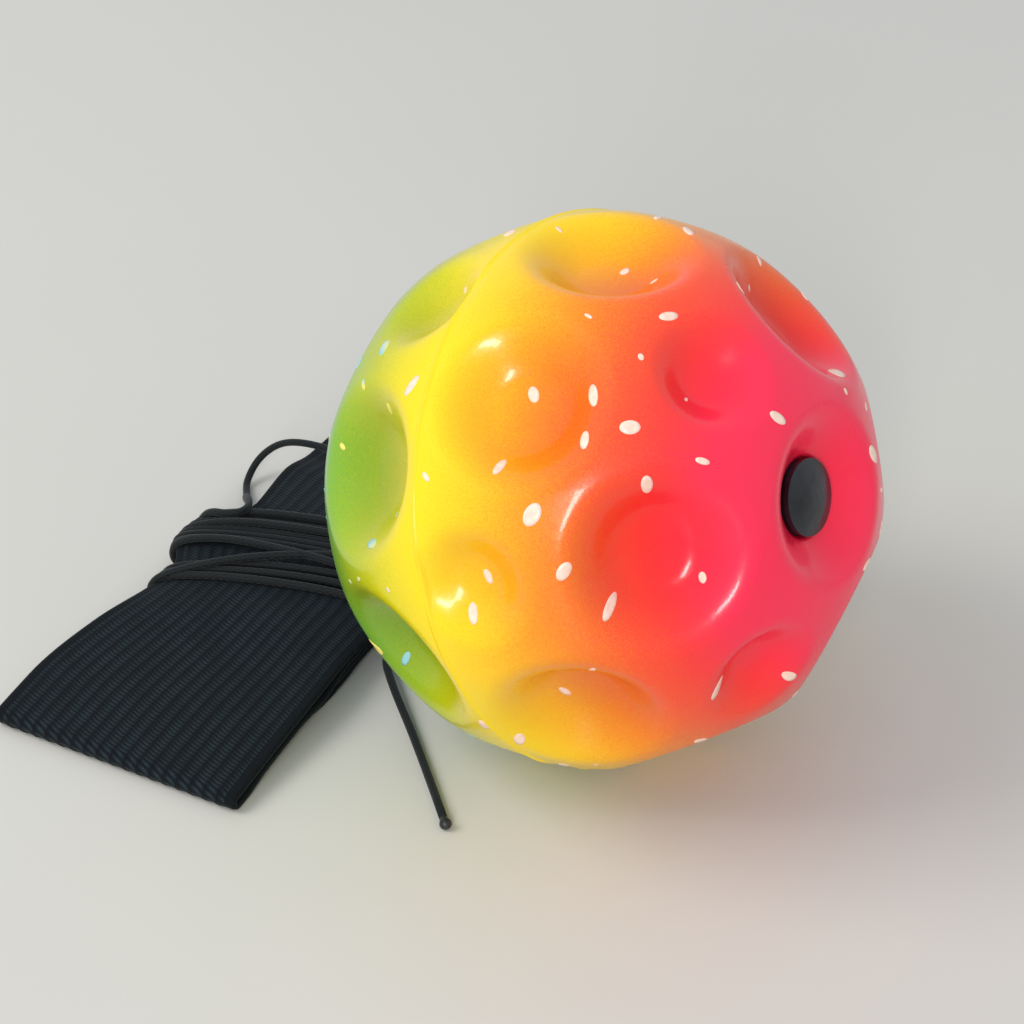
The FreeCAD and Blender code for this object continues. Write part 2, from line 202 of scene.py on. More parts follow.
def ball_paint():
    """Rainbow paint under a glossy skin, with a fine printed grain at its fades and painted shade in
    its hollows.
    """
    g = Graph("ball_paint")
    place = g.object_coordinates()
    outward = g.vector("SUBTRACT", place, tuple(CENTRE))
    outward = g.vector("NORMALIZE", outward)
    along = g.vector("DOT_PRODUCT", outward, tuple(AXIS))
    degrees = g.math("MULTIPLY", g.math("ARCCOSINE", along), 180 / math.pi)
    grain = g.noise(place, 5200, 1.0)
    drift = g.noise(place, 55, 2.0)
    degrees = g.math("ADD", degrees, g.math("MULTIPLY", g.math("SUBTRACT", grain, 0.5), 17.0))
    degrees = g.math("ADD", degrees, g.math("MULTIPLY", g.math("SUBTRACT", drift, 0.5), 7.0))
    stops = [(angle / 180, srgb(*colour)) for angle, colour in PAINT]
    colour = g.ramp(g.math("DIVIDE", degrees, 180.0), stops)
    # Painted shade: the colour is multiplied by itself, so it is darker and deeper in colour towards
    # the bottom of the hollows.
    hollow_shade = g.math("SUBTRACT", SKIN_R, g.vector("LENGTH", g.vector("SUBTRACT", place, tuple(CENTRE))))
    hollow_shade = g.math("MULTIPLY", hollow_shade, 0.5 / BIG_HOLLOW[2], clamp=True)
    colour = g.mix(hollow_shade, colour, colour, "MULTIPLY")
    tiny = g.noise(place, 900, 3.0)
    wide = g.noise(place, 160, 2.0)
    rough = g.math("MULTIPLY_ADD", wide, 0.12, 0.2)
    skin = g.bump(tiny, 0.06, 0.0004)
    g.shade(Base_Color=colour, Roughness=rough, Normal=skin)
    return g.shade(Coat_Weight=0.25, Coat_Roughness=0.07, Specular_IOR_Level=0.35)


def speck_paint():
    """Cream on the warm half of the ball, pale blue or yellow on the cool half."""
    g = Graph("speck_paint")
    place = g.object_coordinates()
    cloud = g.noise(place, 1500, 2.0)
    cream = g.ramp(cloud, [(0.3, srgb(250, 205, 185)), (0.7, srgb(253, 226, 208))])
    patch = g.noise(place, 140, 1.0)
    cool = g.ramp(patch, [(0.44, srgb(146, 200, 208)), (0.54, srgb(236, 222, 110))])
    outward = g.vector("NORMALIZE", g.vector("SUBTRACT", place, tuple(CENTRE)))
    along = g.vector("DOT_PRODUCT", outward, tuple(AXIS))
    warm = g.math("MULTIPLY_ADD", along, 14.0, 3.2, clamp=True)
    colour = g.mix(warm, cool, cream)
    return g.shade(Base_Color=colour, Roughness=0.35, Coat_Weight=0.25, Coat_Roughness=0.1)


def moulded_plastic(name, dark, light, rough):
    """Moulded plastic with a slight ripple, a fine texture and faint handling marks."""
    g = Graph(name)
    place = g.object_coordinates()
    cloud = g.noise(place, 260, 3.0)
    colour = g.ramp(cloud, [(0.35, dark), (0.7, light)])
    marks = g.math("MULTIPLY_ADD", g.noise(place, 1400, 4.0), 0.18, rough)
    ripple = g.bump(g.noise(place, 330, 1.0), 0.35, 0.0006)
    pebble = g.bump(g.noise(place, 3800, 2.0), 0.05, 0.0002, ripple)
    return g.shade(Base_Color=colour, Roughness=marks, Normal=pebble)


def band_knit():
    """Ribbed elastic: UV is millimetres, across in U and along in V."""
    g = Graph("band_knit")
    across, along = g.uv()
    phase = g.math("FRACT", g.math("DIVIDE", across, RIB_PITCH))
    centred = g.math("ABSOLUTE", g.math("SUBTRACT", phase, 0.5))
    crest = g.math("SUBTRACT", 1.0, g.math("MULTIPLY", centred, 2.0), clamp=True)
    slant = g.math("MULTIPLY_ADD", across, 0.28, along)
    wobble = g.math("MULTIPLY", g.noise(g.object_coordinates(), 500, 2.0), 0.22)
    slant = g.math("ADD", slant, wobble)
    yarn = g.math("SINE", g.math("MULTIPLY", slant, 2 * math.pi / STITCH_PITCH))
    yarn = g.math("MULTIPLY_ADD", yarn, 0.5, 0.5)
    body = g.math("MULTIPLY", g.math("POWER", crest, 0.4), g.math("MULTIPLY_ADD", yarn, 0.68, 0.32))
    in_ribs = g.math("GREATER_THAN", RIB_ZONE, g.math("ABSOLUTE", across))
    plain = g.math("MULTIPLY_ADD", yarn, 0.2, 0.12)
    fabric = g.math("ADD", g.math("MULTIPLY", in_ribs, body),
                    g.math("MULTIPLY", g.math("SUBTRACT", 1.0, in_ribs), plain))
    fuzz = g.noise(g.object_coordinates(), 5200, 3.0)
    worn = g.noise(g.object_coordinates(), 260, 3.0)
    tone = g.math("MULTIPLY", fabric, g.math("MULTIPLY_ADD", fuzz, 0.9, 0.55))
    tone = g.math("MULTIPLY", tone, g.math("MULTIPLY_ADD", worn, 0.7, 0.65), clamp=True)
    stops = [(0.0, srgb(2, 5, 8)), (0.4, srgb(8, 16, 22)), (1.0, srgb(34, 47, 53))]
    colour = g.ramp(tone, stops)
    relief = g.math("ADD", fabric, g.math("MULTIPLY", fuzz, 0.25))
    normal = g.bump(relief, 0.8, 0.00024)
    g.shade(Base_Color=colour, Normal=normal, Roughness=0.82)
    return g.shade(Sheen_Weight=0.03, Sheen_Roughness=0.5, Specular_IOR_Level=0.2)


def cord_braid():
    """Fine braided cover: UV is turns round in U and millimetres along in V."""
    g = Graph("cord_braid")
    around, along = g.uv()
    left = g.math("MULTIPLY_ADD", around, 6.0, g.math("MULTIPLY", along, 0.9))
    right = g.math("MULTIPLY_ADD", around, -6.0, g.math("MULTIPLY", along, 0.9))
    one = g.math("ABSOLUTE", g.math("SINE", g.math("MULTIPLY", left, math.pi)))
    two = g.math("ABSOLUTE", g.math("SINE", g.math("MULTIPLY", right, math.pi)))
    plait = g.math("MAXIMUM", one, two)
    fuzz = g.noise(g.object_coordinates(), 5000, 2.0)
    tone = g.math("MULTIPLY", plait, g.math("MULTIPLY_ADD", fuzz, 0.8, 0.5), clamp=True)
    colour = g.ramp(tone, [(0.2, srgb(3, 5, 6)), (1.0, srgb(21, 26, 28))])
    normal = g.bump(g.math("ADD", plait, g.math("MULTIPLY", fuzz, 0.4)), 0.5, 0.00012)
    g.shade(Base_Color=colour, Normal=normal, Roughness=0.7)
    return g.shade(Sheen_Weight=0.1, Specular_IOR_Level=0.3)


def thread_material():
    g = Graph("sewing_thread")
    place = g.object_coordinates()
    twist = g.node("ShaderNodeTexWave", wave_type="BANDS", bands_direction="DIAGONAL")
    g.fill(twist.inputs["Vector"], place)
    twist.inputs["Scale"].default_value = 1800
    twist.inputs["Distortion"].default_value = 1.5
    lift = twist.outputs["Fac"]
    colour = g.ramp(lift, [(0.0, srgb(14, 18, 22)), (1.0, srgb(58, 66, 74))])
    return g.shade(Base_Color=colour, Roughness=0.6, Normal=g.bump(lift, 0.4, 0.0001))


def melted_material():
    g = Graph("cord_melt")
    lumps = g.noise(g.object_coordinates(), 1900, 3.0)
    colour = g.ramp(lumps, [(0.3, srgb(16, 18, 20)), (0.8, srgb(44, 48, 50))])
    return g.shade(Base_Color=colour, Roughness=0.38, Normal=g.bump(lumps, 0.5, 0.0003))


def floor_material():
    g = Graph("pale_floor")
    cloud = g.noise(g.object_coordinates(), 3.0, 4.0)
    colour = g.ramp(cloud, [(0.3, srgb(199, 197, 191)), (0.7, srgb(204, 202, 196))])
    rough = g.math("MULTIPLY_ADD", g.noise(g.object_coordinates(), 60, 3.0), 0.1, 0.42)
    return g.shade(Base_Color=colour, Roughness=rough, Specular_IOR_Level=0.35)


# --------------------------------------------------------------- mesh helpers
def new_mesh(name, points, faces, material, uvs=None):
    """A smooth-shaded object in the scene, with one UV for each point where given."""
    mesh = bpy.data.meshes.new(name)
    mesh.from_pydata([tuple(p) for p in points], [], faces)
    mesh.validate()
    mesh.polygons.foreach_set("use_smooth", [True] * len(mesh.polygons))
    if uvs is not None:
        layer = mesh.uv_layers.new(name="UVMap")
        index = np.empty(len(mesh.loops), int)
        mesh.loops.foreach_get("vertex_index", index)
        layer.data.foreach_set("uv", np.asarray(uvs)[index].astype(np.float32).ravel())
    mesh.update()
    piece = bpy.data.objects.new(name, mesh)
    bpy.context.collection.objects.link(piece)
    mesh.materials.append(material)
    return piece


def grid_faces(rows, columns, close_rows=False, close_columns=False):
    """Quads over a grid of rows by columns, joined up at its ends where asked."""
    faces = []
    for row in range(rows if close_rows else rows - 1):
        after = (row + 1) % rows
        for column in range(columns if close_columns else columns - 1):
            beside = (column + 1) % columns
            faces.append((row * columns + column, row * columns + beside,
                          after * columns + beside, after * columns + column))
    return faces


# ----------------------------------------------------------------------- ball
SEAM_HEIGHT, SEAM_WIDTH = 0.26 * MM, 0.3 * MM
POCKET_FLOOR, POCKET_R = 22.0 * MM, 2.6 * MM
SEAT_LEVEL, SEAT_R = 29.3 * MM, 4.8 * MM
BORE_FOOT, BORE_R = -29.2 * MM, 1.7 * MM
# Distance from the centre to the skin beside the cap's seat and beside the bore.
SEAT_RIM, BORE_RIM = 30.0 * MM, 29.4 * MM
BALL_COLUMNS, BALL_RINGS = 360, 230
SPECKS, SPECK_APART = 165, 0.1
SPECK_LENGTHS = (0.7, 0.9, 1.1, 1.4, 1.8, 2.1, 2.4, 2.9)
SPECK_LIFT = 0.05 * MM


def ring_directions(polar, turns):
    """Directions in the ball's frame for one ring and its opposite ring."""
    found = []
    for turn in turns:
        for third in (0, 120, 240):
            about = math.radians(turn + third)
            one = Vector((math.sin(polar) * math.cos(about), math.sin(polar) * math.sin(about),
                          math.cos(polar)))
            found += [one, -one]
    return found


def hollow_directions():
    """Corners and face middles of a regular dodecahedron with a corner on the axis."""
    edge = math.acos(math.sqrt(5) / 3)
    face = math.acos(math.sqrt((5 + 2 * math.sqrt(5)) / 15))
    face_far = math.acos(math.sqrt((5 - 2 * math.sqrt(5)) / 15))
    skew = math.degrees(math.acos(math.sqrt((7 + 3 * math.sqrt(5)) / 16)))
    big = [Vector((0, 0, 1)), Vector((0, 0, -1))]
    big += ring_directions(edge, [skew + 60])
    big += ring_directions(math.acos(1 / 3), [0.0, 2 * skew])
    small = ring_directions(face, [skew]) + ring_directions(face_far, [skew + 60])
    return big, small


def hollow_depth(directions, hollow, wall_from, shoulder_to, depth):
    """How far one dished hollow sinks the skin, along each unit direction."""
    apart = np.arccos(np.clip(directions @ np.array(hollow), -1, 1))
    share = np.clip((apart - wall_from) / (shoulder_to - wall_from), 0, 1)
    walled = 1 - share**3 * (share * (share * 6 - 15) + 10)
    dished = np.cos(np.clip(apart / shoulder_to, 0, 1) * math.pi / 2) ** 2
    return depth * (0.7 * walled + 0.3 * dished)


def ball_surface(directions):
    """Distance from the centre to the moulded skin, along each unit direction."""
    skin = np.full(len(directions), SKIN_R)
    for group, shape in zip(hollow_directions(), (BIG_HOLLOW, SMALL_HOLLOW)):
        for hollow in group:
            skin -= hollow_depth(directions, hollow, *shape)
    off_seam = np.abs(np.arcsin(np.clip(directions[:, 2], -1, 1))) * SKIN_R
    return skin + SEAM_HEIGHT * np.exp(-((off_seam / SEAM_WIDTH) ** 2))


def to_row(points):
    """Points in the ball's frame to the row's frame."""
    return np.asarray(points) @ np.array(BALL_TURN).T + np.array(CENTRE)


def sphere_rings():
    """Angles from the pole for the ball's rings, close together at the seam."""
    start = math.asin(SEAT_R / SEAT_RIM)
    end = math.pi - math.asin((BORE_R + 0.25 * MM) / BORE_RIM)
    plain = list(np.linspace(start, end, BALL_RINGS))
    seam = [math.pi / 2 + step * 0.1 * MM / RADIUS for step in range(-8, 9)]
    keep = [angle for angle in plain if abs(angle - math.pi / 2) * RADIUS > 1.0 * MM]
    return sorted(keep + seam)


def build_ball(material):
    """The foam ball as one closed skin: hollows, seam, cap seat, pocket and bore."""
    turn = np.linspace(0, 2 * math.pi, BALL_COLUMNS, endpoint=False)
    ring = np.stack([np.cos(turn), np.sin(turn)], axis=1)
    rows = []

    def flat_ring(radius, height):
        rows.append(np.column_stack([ring * radius, np.full(BALL_COLUMNS, height)]))

    for height in np.linspace(BORE_FOOT, POCKET_FLOOR, 12):
        flat_ring(BORE_R, height)
    flat_ring(POCKET_R, POCKET_FLOOR)
    for height in np.linspace(POCKET_FLOOR + 0.2 * MM, SEAT_LEVEL - 0.1 * MM, 5):
        flat_ring(POCKET_R, height)
    flat_ring(POCKET_R + 0.1 * MM, SEAT_LEVEL)
    flat_ring(SEAT_R - 0.1 * MM, SEAT_LEVEL)
    flat_ring(SEAT_R, SEAT_LEVEL + 0.15 * MM)
    for angle in sphere_rings():
        level = np.full(BALL_COLUMNS, math.cos(angle))
        directions = np.column_stack([ring * math.sin(angle), level])
        rows.append(directions * ball_surface(directions)[:, None])
    points = to_row(np.concatenate(rows))
    faces = grid_faces(len(rows), BALL_COLUMNS, close_rows=True, close_columns=True)
    ball = new_mesh("ball_skin", points, faces, material)
    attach(ball, "ball")
    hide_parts("foam_ball")


def speck_patch(direction, long_way, length, width):
    """One speck as a thin patch on the skin: its points and faces."""
    across = direction.cross(long_way).normalized()
    long_way = across.cross(direction).normalized()
    rims = 18
    directions = [direction]
    for share in (0.55, 0.97, 1.0):
        for step in range(rims):
            around = 2 * math.pi * step / rims
            offset = long_way * (math.cos(around) * length / 2 * share)
            offset += across * (math.sin(around) * width / 2 * share)
            directions.append((direction + offset / RADIUS).normalized())
    directions = np.array([tuple(d) for d in directions])
    lift = np.full(len(directions), SPECK_LIFT)
    lift[1 + 2 * rims:] = -SPECK_LIFT
    points = directions * (ball_surface(directions) + lift)[:, None]
    faces = [(0, 1 + step, 1 + (step + 1) % rims) for step in range(rims)]
    for band in (0, 1):
        first, second = 1 + band * rims, 1 + (band + 1) * rims
        for step in range(rims):
            beside = (step + 1) % rims
            faces.append((first + step, second + step, second + beside, first + beside))
    return points, faces


def build_specks(material):
    """Pale paint specks, splashed at every slant over the whole ball."""
    draw = random.Random(23)
    points, faces = [], []
    placed = []
    while len(placed) < SPECKS:
        height = draw.uniform(-0.985, 0.975)
        about = draw.uniform(0, 2 * math.pi)
        level = math.sqrt(1 - height * height)
        direction = Vector((level * math.cos(about), level * math.sin(about), height))
        length = draw.choice(SPECK_LENGTHS) * MM
        width = max(length * draw.uniform(0.38, 0.75), 0.45 * MM)
        slant = draw.uniform(0, math.pi)
        if any(direction.angle(other) < SPECK_APART for other in placed):
            continue
        placed.append(direction)
        guide = Vector((math.cos(slant), math.sin(slant), 0.3))
        new_points, new_faces = speck_patch(direction, guide, length, width)
        start = sum(len(block) for block in points)
        points.append(new_points)
        faces += [tuple(start + corner for corner in face) for face in new_faces]
    specks = new_mesh("ball_specks", to_row(np.concatenate(points)), faces, material)
    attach(specks, "ball")


# ------------------------------------------------------------------- headband
# Millimetres from here to the cord's routes.
BAND_WIDTH = 38.0
THICK = 1.1
PITCH = 1.2
CORD_LIFT = 1.2
KNOT_LIFT = 2.3
FRONT_FOLD = 1.5
RIBS = 17
RIB_PITCH = 2.06
RIB_ZONE = RIBS * RIB_PITCH / 2
STITCH_PITCH = 0.56
RIB_RELIEF = 0.13
ROW_PITCH = 1.3
NOSE_Y, REAR_Y = -70.0, 70.0
TUCK_Y, TUCK_ASIDE = -52.0, 1.9
WRAP_FROM, WRAP_TO = -41.0, -6.0
LAP_FROM, LAP_TO = 28.0, 50.0
SIDE_STEP, EDGE_PULL = 5.0, 3.4
# The turns squeeze the bundle's edges towards its waist and leave a crown between.
WAIST_Z = 2.9 + CORD_LIFT * 0.5
EDGE_SQUEEZE, CROWN = 0.42, 0.85


def smooth_step(value, low, high):
    share = min(max((value - low) / (high - low), 0.0), 1.0)
    return share * share * (3 - 2 * share)


def layer_height(layer):
    return THICK / 2 + layer * PITCH


def band_path():
    """Side outline of the folded loop as (y, z) in millimetres, and its tucked rows."""
    bottom, second, third, top = [layer_height(layer) for layer in range(4)]
    front = bottom + FRONT_FOLD
    nose = NOSE_Y + THICK / 2 + (front - bottom) / 2
    rear = REAR_Y - THICK / 2 - (top - bottom) / 2

    def lift(y):
        return CORD_LIFT * smooth_step(y, -48.0, WRAP_FROM) * (1 - smooth_step(y, WRAP_TO, 1.0))

    def bulge(y):
        return KNOT_LIFT * smooth_step(y, 17.0, LAP_FROM) * (1 - smooth_step(y, LAP_TO, 61.0))

    def arc(centre, low, high, outward, upward):
        middle, radius = (low + high) / 2, (high - low) / 2
        start = -90 if upward else 90
        angles = np.linspace(start, -start, 9)[1:-1]
        return [(centre + outward * radius * math.cos(math.radians(a)),
                 middle + radius * math.sin(math.radians(a))) for a in angles]

    def run(start, end, height):
        steps = max(2, int(abs(end - start) / ROW_PITCH))
        return [(y, height(y)) for y in np.linspace(start, end, steps + 1)]

    def top_height(y):
        share = min(max((y - nose) / (WRAP_FROM - nose), 0.0), 1.0)
        climb = (top + CORD_LIFT - front) * (1 - (1 - share) ** 1.3)
        return front + climb - CORD_LIFT * smooth_step(y, WRAP_TO, 1.0) + bulge(y)

    def third_height(y):
        under = bottom + (top_height(y) - PITCH - bottom) * smooth_step(y, nose, nose + 6.0)
        return min(third + lift(y), under)

    path = run(nose, rear, top_height)
    path += arc(rear, bottom, top, 1, False)
    first_tucked = len(path)
    path += run(rear, TUCK_Y, lambda y: bottom + lift(y))
    path += arc(TUCK_Y, bottom, second, -1, True)
    path += run(TUCK_Y, rear, lambda y: second + lift(y))
    tucked = range(first_tucked, len(path))
    path += arc(rear, second, third, 1, True)
    path += run(rear, nose, third_height)
    path += arc(nose, bottom, front, -1, True)
    return np.array(path), tucked


def tuck_aside(y):
    """How far the tucked end lies to the left of the layers above it."""
    return TUCK_ASIDE * (1 - smooth_step(y, TUCK_Y + 1.0, WRAP_FROM))


def band_plan(y):
    """The bundle's middle and half width in plan at y, and how far the cord pinches it."""
    step = smooth_step(y, -24.0, -15.0)
    middle = BAND_LEFT + BAND_WIDTH / 2 + SIDE_STEP * step
    pinch = smooth_step(y, -50.0, -36.0) * (1 - smooth_step(y, -17.0, -5.0))
    # The front turns pull the left edge inward.
    pulled = EDGE_PULL * smooth_step(y, -62.0, -39.0) * (1 - smooth_step(y, -35.0, -27.0))
    return middle + pulled / 2, BAND_WIDTH / 2 - 0.7 * pinch - pulled / 2, pinch


def band_section():
    """One cross-section: (across in mm, side of the strip, relief) for each point."""
    section = []
    half = BAND_WIDTH / 2
    edge = 0.35
    steps = RIBS * 6
    inner = np.linspace(-RIB_ZONE, RIB_ZONE, steps + 1)
    selvedge = [-half + edge, -half + 0.9]
    across = selvedge + list(inner) + [-value for value in reversed(selvedge)]
    for side in (1, -1):
        line = across if side == 1 else list(reversed(across))
        for value in line:
            relief = 0.0
            if abs(value) <= RIB_ZONE:
                rib_turn = 2 * math.pi * (value + RIB_ZONE) / RIB_PITCH
                relief = RIB_RELIEF * (0.5 - 0.5 * math.cos(rib_turn))
            section.append((value, side, relief))
        section.append((half * side, 0.5 * side, 0.0))
        section.append((half * side, -0.5 * side, 0.0))
    return section


def build_band(material):
    """The elastic: ribbed strip carried round the folded loop."""
    path, tucked = band_path()
    count = len(path)
    ahead = np.roll(path, -1, axis=0)
    behind = np.roll(path, 1, axis=0)
    tangent = ahead - behind
    tangent /= np.linalg.norm(tangent, axis=1)[:, None]
    normal = np.column_stack([-tangent[:, 1], tangent[:, 0]])
    travelled = np.concatenate([[0], np.cumsum(np.linalg.norm(ahead - path, axis=1))])
    # The stitches close up round the loop, with a whole number of them in it.
    whole = round(travelled[-1] / STITCH_PITCH) * STITCH_PITCH
    travelled *= whole / travelled[-1]
    section = band_section()
    points, uvs = [], []
    for lap_row in range(count + 1):
        row = lap_row % count
        y, z = path[row]
        middle, half, pinch = band_plan(y)
        if row in tucked:
            middle -= tuck_aside(y)
        for across, side, relief in section:
            share = across / (BAND_WIDTH / 2)
            offset = side * THICK / 2 - (RIB_RELIEF - relief) * np.sign(side) * (abs(side) == 1)
            py = y + normal[row, 0] * offset
            pz = z + normal[row, 1] * offset
            crown = CROWN * pinch * (1 - share**2)
            squeeze = 1 - EDGE_SQUEEZE * pinch * abs(share) ** 3
            pz = WAIST_Z + (pz - WAIST_Z) * squeeze + crown * max(0.0, (pz - 1.0) / 5.0)
            points.append((middle + half * share, py, max(pz, 0.02)))
            uvs.append((across, travelled[lap_row]))
    points = np.array(points) * MM
    faces = grid_faces(count + 1, len(section), close_columns=True)
    band = new_mesh("elastic_band", points, faces, material, uvs=uvs)
    merge_seam(band)
    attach(band, "headband")
    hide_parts("headband_elastic")


LAP_MIDDLE = layer_height(3) + KNOT_LIFT + THICK
EYELET = mm(-27.5, 39.0, LAP_MIDDLE + THICK / 2)


def build_lap(material):
    """The strip's end, laid over its start where the loop is sewn shut."""
    section = band_section()
    places = np.linspace(LAP_FROM, LAP_TO, 23)
    points, uvs = [], []
    for y in places:
        middle, half, _ = band_plan(y)
        for across, side, relief in section:
            offset = side * THICK / 2 - (RIB_RELIEF - relief) * np.sign(side) * (abs(side) == 1)
            points.append((middle + across, y, LAP_MIDDLE + offset))
            uvs.append((across, y))
    faces = grid_faces(len(places), len(section), close_columns=True)
    last = (len(places) - 1) * len(section)
    faces.append(tuple(range(len(section))))
    faces.append(tuple(last + step for step in reversed(range(len(section)))))
    lap = new_mesh("band_lap", np.array(points) * MM, faces, material, uvs=uvs)
    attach(lap, "headband")


def build_stitches(material):
    """Rows of sewn bars along both ends of the lap."""
    draw = random.Random(5)
    lines = []
    per_row, length, room = 13, 1.9, 2.2
    spacing = (BAND_WIDTH - 2 * room - length) / (per_row - 1)
    start = EYELET.x / MM - BAND_WIDTH / 2 + room
    for row_y in (29.75, 31.25, 46.75, 48.25):
        for number in range(per_row):
            x = start + number * spacing + draw.uniform(-0.06, 0.06)
            y = row_y + draw.uniform(-0.05, 0.05)
            rise = [-0.22, 0.02, 0.1, 0.12, 0.1, 0.02, -0.22]
            lines.append([mm(x + length * i / 6, y + 0.04 * (i - 3), EYELET.z / MM + lift)
                          for i, lift in enumerate(rise)])
    stitches = threads("seam_threads", lines, 0.2 * MM, material)
    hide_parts("seam_stitches")


def build_eyelet(material):
    """Buttonhole thread wound round the edge of the cord's hole."""
    turns, per_turn = 26, 12
    line = []
    for step in range(turns * per_turn + 1):
        around = 2 * math.pi * step / (turns * per_turn)
        wind = around * turns
        out = 1.6 + 0.36 * math.cos(wind)
        line.append(EYELET + mm(out * math.cos(around), out * math.sin(around),
                                0.2 + 0.3 * math.sin(wind)))
    ring = threads("eyelet_thread", [line], 0.17 * MM, material)
    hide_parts("eyelet_stitches")


# ----------------------------------------------------------------------- cord
LEAD = [
    CENTRE - AXIS * 29.38 * MM,
    CENTRE - AXIS * 36.38 * MM,
    mm(-25.0, -16.5, 17.0),
    mm(-29.5, -9.5, 12.2),
    mm(-33.5, -3.5, 9.3),
    mm(-39.5, -1.4, 8.1),
    mm(-46.2, -1.2, 7.8),
    mm(-50.8, -1.0, 6.2),
    mm(-54.0, -2.2, 3.2),
    mm(-54.2, -5.6, 0.8),
    mm(-52.2, -8.6, 0.6),
    mm(-49.9, -11.6, 1.8),
    mm(-48.2, -14.4, 5.0),
    mm(-45.4, -17.6, 7.4),
    mm(-43.4, -20.2, 8.3),
    mm(-43.2, -22.2, 8.4),
    mm(-45.4, -23.4, 8.1),
    mm(-48.8, -22.8, 7.2),
]
RUN = [
    mm(-22.6, -8.0, 8.3),
    mm(-22.4, -0.5, 7.6),
    mm(-23.2, 7.0, 7.3),
    mm(-24.4, 17.5, 8.4),
    mm(-25.9, 26.6, 10.8),
    mm(-26.9, 33.8, 13.0),
    mm(-27.5, 38.6, 10.9),
    mm(-27.5, 39.0, 5.8),
]
TAIL = [
    mm(-26.1, 39.0, 4.7),
    mm(-17.0, 39.6, 4.7),
    mm(-8.0, 37.6, 4.4),
    mm(-2.5, 30.5, 1.5),
    mm(-3.5, 19.0, 0.6),
    mm(-5.6, 6.0, 0.6),
    mm(-4.6, -7.0, 0.6),
    mm(-6.8, -18.0, 1.2),
    mm(-10.6, -26.8, 1.9),
    mm(-12.8, -34.4, 2.2),
    mm(-8.0, -39.8, 1.5),
    mm(0.2, -47.6, 0.7),
    mm(10.6, -58.9, 0.8),
]
# Each turn's place along the band where it comes up over the right edge, where
# it goes down over the left edge, and how far it stands off, in millimetres.
TURNS = [
    (-12.4, -23.0, 0.0),
    (-14.0, -24.2, 0.0),
    (-15.7, -25.4, 0.1),
    (-17.8, -26.6, 0.0),
    (-19.4, -27.8, 0.0),
    (-21.2, -29.0, 0.1),
    (-24.6, -35.4, 0.0),
    (-26.8, -36.7, 0.0),
    (-29.2, -38.0, 0.0),
    (-18.9, -38.6, 1.15),
    (-25.6, -29.6, 1.2),
    (-17.0, -26.0, 1.15),
    (-13.4, -22.4, 1.1),
]
FIRST_LEFT = -22.2


def curve_points(route, name):
    """The smooth line that a cord follows through its route, as mesh points."""
    curve = bpy.data.curves.new(name, "CURVE")
    curve.dimensions = "3D"
    spline = curve.splines.new("NURBS")
    spline.points.add(len(route) - 1)
    for point, place in zip(spline.points, route):
        point.co = (*place, 1.0)
    spline.order_u = 3
    spline.use_endpoint_u = True
    spline.resolution_u = 7
    holder = bpy.data.objects.new(name, curve)
    bpy.context.collection.objects.link(holder)
    bpy.context.view_layer.update()
    mesh = bpy.data.meshes.new_from_object(holder)
    line = [vertex.co.copy() for vertex in mesh.vertices]
    bpy.data.objects.remove(holder)
    bpy.data.meshes.remove(mesh)
    return line


def edge_x(y, side):
    middle, half, _ = band_plan(y)
    return middle + side * half


def top_z(share, y):
    """Height of the bundle's upper skin at a share of its half width."""
    pinch = band_plan(y)[2]
    flat = CORD_LIFT + 3 * PITCH + THICK
    squeeze = 1 - EDGE_SQUEEZE * pinch * abs(share) ** 3
    return WAIST_Z + (flat - WAIST_Z) * squeeze + CROWN * pinch * (1 - share**2)


def over_pass(right_y, left_y, off, shares):
    """Across the top from the right edge, standing off where it crosses others."""
    route = []
    for share in shares:
        y = right_y + (left_y - right_y) * (1 - share) / 2
        middle, half, _ = band_plan(y)
        gap = CORD_R / MM + 0.12 + off * (1 - abs(share) ** 6)
        route.append(mm(middle + half * share, y, top_z(share, y) + gap))
    return route


def under_pass(left_y, right_y):
    """Down over the left edge, across underneath and up the right side."""
    stand = CORD_R / MM + 0.12
    left = edge_x(left_y, -1) - stand
    route = [mm(left - 0.25, left_y, 4.2), mm(left - 0.2, left_y, 1.7)]
    for share in (-0.9, -0.5, 0.0, 0.5, 0.9):
        y = left_y + (right_y - left_y) * (1 + share) / 2
        middle, half, _ = band_plan(y)
        route.append(mm(middle + half * share, y, CORD_R / MM + 0.05))
    right = edge_x(right_y, 1) + stand
    return route + [mm(right + 0.2, right_y, 1.7), mm(right + 0.25, right_y, 4.6)]


def working_route():
    """From the ball's bore to the hole in the lap, by way of all the turns."""
    route = list(LEAD)
    left_y = FIRST_LEFT
    for right_y, next_left, off in TURNS:
        route += under_pass(left_y, right_y)
        route += over_pass(right_y, next_left, off, (0.93, 0.62, 0.25, -0.2, -0.6, -0.93))
        left_y = next_left
    # The last pass leaves the winding on top and runs back along the band.
    route += under_pass(left_y, -9.0)
    return route + over_pass(-9.0, -16.0, 1.1, (0.93, 0.62, 0.3)) + RUN


